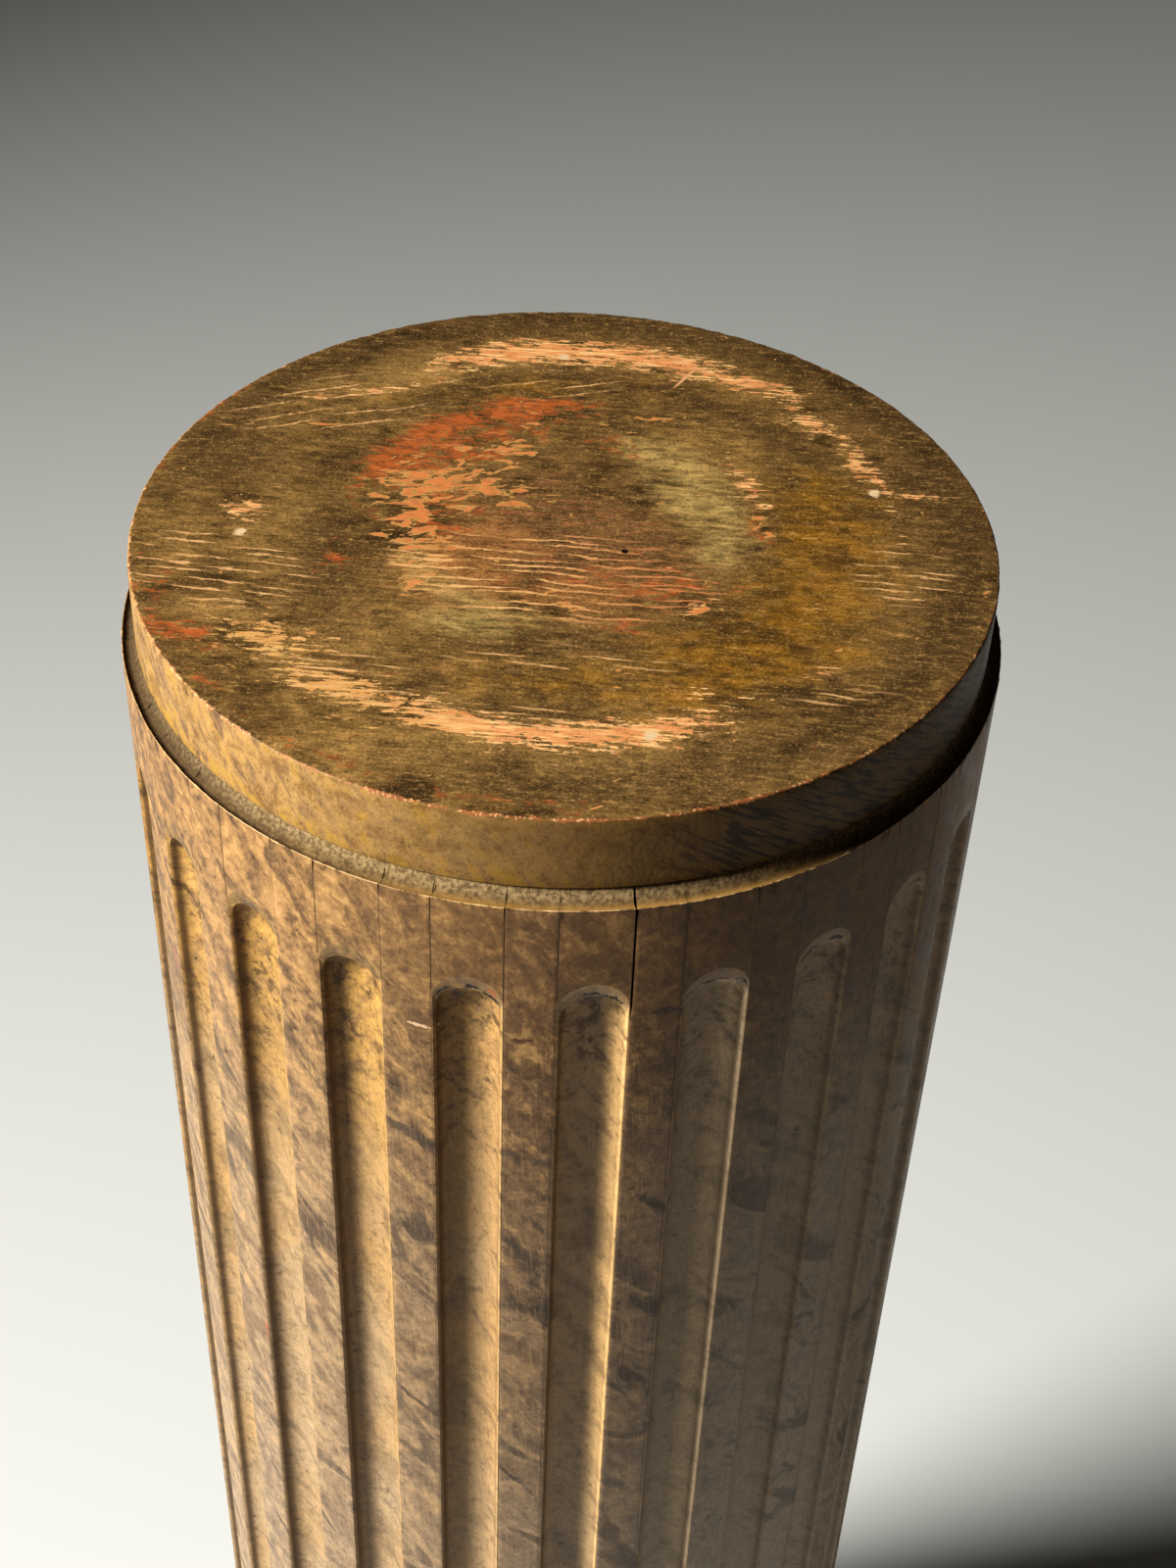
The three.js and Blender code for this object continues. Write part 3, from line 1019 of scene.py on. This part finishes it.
def mix_disc_paint():
    paint = Paint("worn_disc_paint")
    place = paint.place
    x, y, height = paint.split(place)
    radius = paint.vector("LENGTH", paint.vector("MULTIPLY", place, (1, 1, 0)))

    # Noises: clouds, blotches and flecks of glaze, streaks and fine grain along the board, and grit
    clouds = paint.cloud(place, 40, detail=2, wobble=0.5)
    blotch = paint.cloud(paint.laid(place, (15, 9, 9), -5), 1, detail=4, roughness=0.62, wobble=0.6)
    fleck = paint.cloud(paint.laid(place, (4.6, 2.8, 4), -4), 1, detail=4, roughness=0.72)
    streak = paint.cloud(paint.laid(place, (10, 2.4, 8), -3), 1, detail=4, roughness=0.66, wobble=0.5)
    grain = paint.cloud(paint.laid(place, (13, 1.1, 6), -4), 1, detail=3, roughness=0.68, wobble=0.2)
    grit = paint.cloud(place, 1.0, detail=1)

    # Glaze: brown, golden in patches, with stains and blooms
    mottle = paint.add(paint.times(clouds, 0.36), paint.times(blotch, 0.36))
    mottle = paint.add(mottle, paint.times(fleck, 0.16), paint.times(streak, 0.12))
    uneven = paint.swing(mottle, 3.0)
    glaze = paint.over(tone(60, 41, 19), tone(104, 75, 36), paint.band(mottle, 0.4, 0.52))
    glaze = paint.over(glaze, tone(138, 102, 51), paint.band(mottle, 0.5, 0.62))
    gold_patch = paint.band(paint.add(paint.mask("gold_patches"), uneven), 0.1, 1.0)
    glaze = paint.over(glaze, tone(158, 119, 64), paint.times(gold_patch, 0.52))
    dark = paint.band(paint.add(paint.mask("dark_stain"), uneven), 0.2, 1.0)
    glaze = paint.over(glaze, tone(50, 34, 17), paint.times(dark, 0.72))
    mustard = paint.band(paint.add(paint.mask("mustard_glaze"), uneven), 0.15, 0.9)
    amber = paint.over(tone(92, 60, 15), tone(130, 86, 15), paint.band(blotch, 0.36, 0.66))
    glaze = paint.over(glaze, amber, paint.times(mustard, 0.8))
    centre = paint.band(paint.add(paint.mask("brown_centre"), uneven), 0.2, 0.9)
    glaze = paint.over(glaze, tone(98, 64, 36), paint.times(centre, 0.66))
    ruddy = paint.times(paint.band(streak, 0.48, 0.62), paint.band(centre, 0.3, 1.0))
    glaze = paint.over(glaze, tone(124, 70, 44), paint.times(ruddy, 0.55))
    wash = paint.band(paint.add(paint.mask("orange_wash"), uneven), 0.3, 0.9)
    glaze = paint.over(glaze, tone(160, 102, 52), paint.times(wash, 0.55))
    bloom = paint.band(paint.add(paint.mask("grey_bloom"), paint.times(uneven, 0.6)), 0.25, 1.0)
    bloom = paint.times(bloom, paint.band(streak, 0.36, 0.6, 0.35, 0.8))
    glaze = paint.over(glaze, tone(174, 143, 80), bloom)
    glaze = paint.over(glaze, tone(48, 33, 16), paint.band(fleck, 0.5, 0.68, 0.0, 0.5))
    glaze = paint.over(glaze, tone(172, 131, 70), paint.band(fleck, 0.48, 0.32, 0.0, 0.32))
    glaze = paint.over(glaze, tone(46, 32, 18), paint.band(grain, 0.54, 0.8, 0.0, 0.6))
    glaze = paint.over(glaze, tone(176, 134, 72), paint.band(grain, 0.46, 0.2, 0.0, 0.42))
    glaze = paint.over(glaze, tone(40, 29, 18), paint.band(grit, 0.54, 0.8, 0.0, 0.5))
    glaze = paint.over(glaze, tone(186, 150, 92), paint.band(grit, 0.44, 0.2, 0.0, 0.3))

    # A lively tone
    lively = paint.add(paint.swing(grit, -0.7), paint.swing(fleck, -0.9))
    lively = paint.add(lively, paint.swing(blotch, 0.4), paint.swing(streak, 1.1))
    glaze = paint.vector("SCALE", glaze, factor=paint.add(1.0, lively))

    # Red ground that shows where the glaze is rubbed thin
    ragged = paint.add(paint.swing(blotch, 1.8), paint.swing(streak, 1.6), paint.swing(fleck, 2.2))
    rubbed = paint.band(paint.add(paint.mask("red_ground"), ragged), 0.52, 0.72)
    red = paint.over(tone(172, 80, 32), tone(116, 62, 30), paint.band(fleck, 0.46, 0.58))
    red = paint.over(red, tone(192, 120, 66), paint.band(grain, 0.56, 0.7))
    colour = paint.over(glaze, red, paint.times(rubbed, 0.85))

    # Orange flakes by the middle, with cream edges
    flake = paint.cloud(paint.laid(place, (12, 4.6, 8), 8), 1, detail=3, roughness=0.6, wobble=0.9)
    flaked = paint.add(paint.mask("orange_chips"), paint.swing(flake, 3.2))
    cream = paint.band(flaked, 0.6, 0.66)
    colour = paint.over(colour, tone(186, 136, 74), paint.times(cream, 0.85))
    orange = paint.over(tone(200, 112, 58), tone(172, 100, 54), paint.band(fleck, 0.46, 0.6))
    colour = paint.over(colour, orange, paint.times(paint.band(flaked, 0.72, 0.78), 0.85))

    # Salmon wear, streaked along the grain
    fringe = paint.add(paint.swing(streak, 1.6), paint.swing(grain, 1.5), paint.swing(fleck, 1.8))
    worn = paint.band(paint.add(paint.mask("salmon_wear"), fringe), 0.61, 0.67)
    salmon = paint.over(tone(204, 132, 76), tone(226, 178, 112), paint.band(grain, 0.5, 0.62))
    salmon = paint.over(salmon, tone(170, 104, 58), paint.band(fleck, 0.54, 0.66, 0.0, 0.8))
    salmon = paint.over(salmon, tone(192, 146, 78), paint.band(paint.add(x, y), -120, -155, 0.0, 0.6))
    colour = paint.over(colour, salmon, worn)

    # Broken lines along the grain in the middle, and scratches
    wander = paint.add(paint.swing(clouds, 6), paint.swing(streak, 4))
    lined = paint.vector("ADD", place, paint.join(0.0, wander, 0.0))
    line = paint.times(paint.dashes(lined, -4, 4.0, 40, 1.0, 0.85), paint.band(fleck, 0.36, 0.5, 0.1, 1.0))
    line = paint.times(line, paint.band(paint.mask("grain_lines"), 0.4, 0.6))
    line_tone = paint.over(tone(216, 164, 100), tone(184, 108, 62), paint.band(x, -20, 40, 0.1, 0.9))
    colour = paint.over(colour, line_tone, paint.times(line, 0.9))
    nicks = paint.times(paint.dashes(lined, -7, 4.2, 24, 0.8, 0.7), paint.band(fleck, 0.37, 0.5, 0.1, 1.0))
    nicks = paint.times(nicks, paint.band(paint.mask("scratches"), 0.4, 0.6))
    rises = paint.times(paint.dashes(lined, 17, 6.5, 40, 0.7, 0.6), paint.band(fleck, 0.38, 0.52))
    rises = paint.times(rises, paint.band(paint.mask("rising_scratches"), 0.4, 0.6))
    nicks = paint.larger(nicks, rises)
    colour = paint.over(colour, tone(206, 156, 100), paint.times(nicks, 0.9))

    # Filled nail holes, a scratch across the grain and one open hole
    for spot in NAIL_FILLS:
        from_nail = paint.vector("DISTANCE", place, (*spot, DISC_TOP / MM))
        fill = paint.band(paint.add(from_nail, paint.swing(fleck, 5)), 2.4, 1.5)
        colour = paint.over(colour, tone(206, 174, 128), fill)
    off_scratch = paint.vector("SUBTRACT", place, (*LONE_SCRATCH, DISC_TOP / MM))
    from_scratch = paint.vector("LENGTH", paint.laid(off_scratch, (8.5, 0.6, 1), 59))
    colour = paint.over(colour, tone(206, 146, 96), paint.band(from_scratch, 1.2, 0.7))
    # The open hole is painted near black as its shade, and sunk in the relief
    from_hole = paint.vector("DISTANCE", place, (*OPEN_HOLE, DISC_TOP / MM))
    hole = paint.band(from_hole, 1.3, 0.9)
    colour = paint.over(colour, tone(18, 13, 10), hole)

    # Side of the disc: golden brown with purple brown streaks, yellow along its foot, sawn to the right
    around = paint.times(paint.sum("ARCTAN2", x, paint.times(y, -1)), DISC_RADIUS / MM)
    unrolled = paint.join(around, height, 0.0)
    slanted = paint.laid(unrolled, (15, 5, 1), -56)
    strokes = paint.cloud(slanted, 1, detail=5, roughness=0.68, wobble=0.5, flat=True)
    streaked = paint.times(paint.band(strokes, 0.46, 0.66), paint.band(around, -60, -125, 0.4, 0.95))
    side = paint.over(tone(172, 131, 74), tone(112, 83, 58), streaked)
    side = paint.over(side, tone(184, 138, 54), paint.band(strokes, 0.46, 0.3, 0.0, 0.8))
    side = paint.over(side, tone(126, 88, 40), paint.times(paint.band(blotch, 0.48, 0.62), 0.55))
    side = paint.over(side, tone(66, 46, 28), paint.band(fleck, 0.5, 0.74, 0.0, 0.6))
    side = paint.over(side, tone(196, 154, 92), paint.band(fleck, 0.48, 0.3, 0.0, 0.5))
    side = paint.over(side, tone(58, 40, 24), paint.band(grit, 0.52, 0.8, 0.0, 0.5))
    foot = paint.add(height, paint.swing(blotch, 26))
    foot = paint.band(foot, DISC_BOTTOM / MM + 9, DISC_BOTTOM / MM + 1)
    side = paint.over(side, tone(176, 132, 46), paint.times(foot, paint.band(strokes, 0.54, 0.42, 0.0, 0.7)))
    saw = paint.cloud(paint.laid(unrolled, (16, 1.5, 1), -34), 1, detail=1, flat=True)
    # Painted shade: darker brown from the left front towards the right, away from the key light
    side = paint.over(side, tone(74, 46, 8), paint.band(around, -100, 40, 0.0, 0.78))
    sawn = paint.times(paint.band(saw, 0.5, 0.6), paint.band(around, 15, 60))
    side = paint.over(side, tone(30, 20, 12), paint.times(sawn, 0.8))
    on_side = paint.band(radius, DISC_RADIUS / MM - 0.75, DISC_RADIUS / MM - 0.35)
    colour = paint.over(colour, side, on_side)

    # Worn arris
    out_from = paint.less(radius, DISC_RADIUS / MM - 0.4)
    up_from = paint.less(height, DISC_TOP / MM - 0.4)
    edge = paint.vector("LENGTH", paint.join(out_from, up_from, 0.0))
    ragged = paint.add(paint.swing(streak, 2.4), paint.swing(fleck, 3.0))
    bite = paint.add(edge, paint.times(paint.less(mottle, 0.48), 4), ragged)
    arris = paint.band(bite, 0.55, 0.2)
    worn_edge = paint.over(tone(180, 124, 76), tone(150, 86, 46), paint.band(x, -112, -40))
    worn_edge = paint.over(worn_edge, tone(84, 50, 26), paint.band(streak, 0.46, 0.6, 0.0, 0.85))
    worn_edge = paint.over(worn_edge, tone(222, 172, 116), paint.band(grit, 0.48, 0.34, 0.0, 0.8))
    colour = paint.over(colour, worn_edge, paint.times(arris, 0.9))

    # Painted shadow in the gap along the foot, and bare wood underneath
    above = paint.less(height, DISC_BOTTOM / MM)
    colour = paint.over(colour, tone(34, 25, 17), paint.band(above, 0.7, 0.4))
    colour = paint.over(colour, tone(110, 82, 54), paint.band(above, 0.3, 0.1))

    roughness = paint.band(paint.add(mottle, paint.times(worn, 0.3)), 0.35, 0.9, 0.36, 0.66)
    return paint.finish(colour, roughness, paint.less(grain, paint.times(hole, 3)), relief=0.3, gloss=0.07)


# The pieces, each in place of its node

shaft_paint = mix_shaft_paint()
disc_paint = mix_disc_paint()

fluted_template = model_fluted_stave()
plain_template = model_plain_stave()
fluted_template.data.materials.append(shaft_paint)
plain_template.data.materials.append(shaft_paint)
cap_disc = model_cap_disc()
cap_disc.name = "worn_cap_disc"
cap_disc.data.materials.append(disc_paint)
for mask_name, mask_shapes in DISC_MASKS.items():
    paint_mask(cap_disc, mask_name, mask_shapes)
smooth_shading(cap_disc)
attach(cap_disc, "root")
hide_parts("cap_disc")

draw = random.Random(SLACK_SEED)
rim_chips = weathering("rim_chips", RIM_CHIP)
for index in range(FLUTE_COUNT):
    label = f"{index + 1:02d}"
    angle = FIRST_FLUTE + index * PITCH
    for kind, template, turn in (
        ("fluted_stave", fluted_template, 0.0),
        ("plain_stave", plain_template, PITCH / 2),
    ):
        node = f"{kind}_{label}"
        gape = OPEN_JOINT if node == OPEN_STAVE else 0.0
        stave = place_copy(template, f"painted_{node}", angle + turn, draw, gape)
        wear_rim(stave, rim_chips)
        smooth_shading(stave)
        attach(stave, "root")
        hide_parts(node)

for template in (fluted_template, plain_template):
    bpy.data.objects.remove(template)


# Floor, light and camera

def stage_floor():
    clear_selection()
    bpy.ops.mesh.primitive_plane_add(size=FLOOR_SIZE)
    floor = bpy.context.object
    floor.name = "floor"
    paint = bpy.data.materials.new("pale_floor")
    paint.use_nodes = True
    shader = paint.node_tree.nodes["Principled BSDF"]
    shader.inputs["Base Color"].default_value = tone(216, 216, 208)
    shader.inputs["Roughness"].default_value = 0.75
    floor.data.materials.append(paint)


def studio_camera():
    data = bpy.data.cameras.new("camera")
    data.lens = CAMERA_LENS
    data.sensor_width = SENSOR_WIDTH
    camera = bpy.data.objects.new("camera", data)
    bpy.context.collection.objects.link(camera)
    camera.location = (0, -CAMERA_BACK, DISC_TOP + CAMERA_ABOVE)
    turned = Euler((0, 0, -CAMERA_YAW)).to_matrix()
    tilted = Euler((math.pi / 2 - CAMERA_PITCH, 0, 0)).to_matrix()
    rolled = Euler((0, 0, CAMERA_ROLL)).to_matrix()
    camera.rotation_euler = (turned @ tilted @ rolled).to_euler()
    bpy.context.scene.camera = camera


def studio_light():
    data = bpy.data.lights.new("key", "AREA")
    data.energy = KEY_POWER
    data.shape = "DISK"
    data.size = KEY_SIZE
    data.spread = KEY_SPREAD
    lamp = bpy.data.objects.new("key", data)
    bpy.context.collection.objects.link(lamp)
    lamp.location = KEY_PLACE
    lamp.rotation_euler = (Vector(KEY_AIM) - lamp.location).to_track_quat("-Z", "Y").to_euler()
    world = bpy.data.worlds.new("studio")
    bpy.context.scene.world = world
    world.use_nodes = True
    air = world.node_tree.nodes["Background"]
    air.inputs["Color"].default_value = AIR_TONE
    air.inputs["Strength"].default_value = AIR_LEVEL


stage_floor()
studio_camera()
studio_light()
bpy.context.scene.view_settings.view_transform = "Standard"
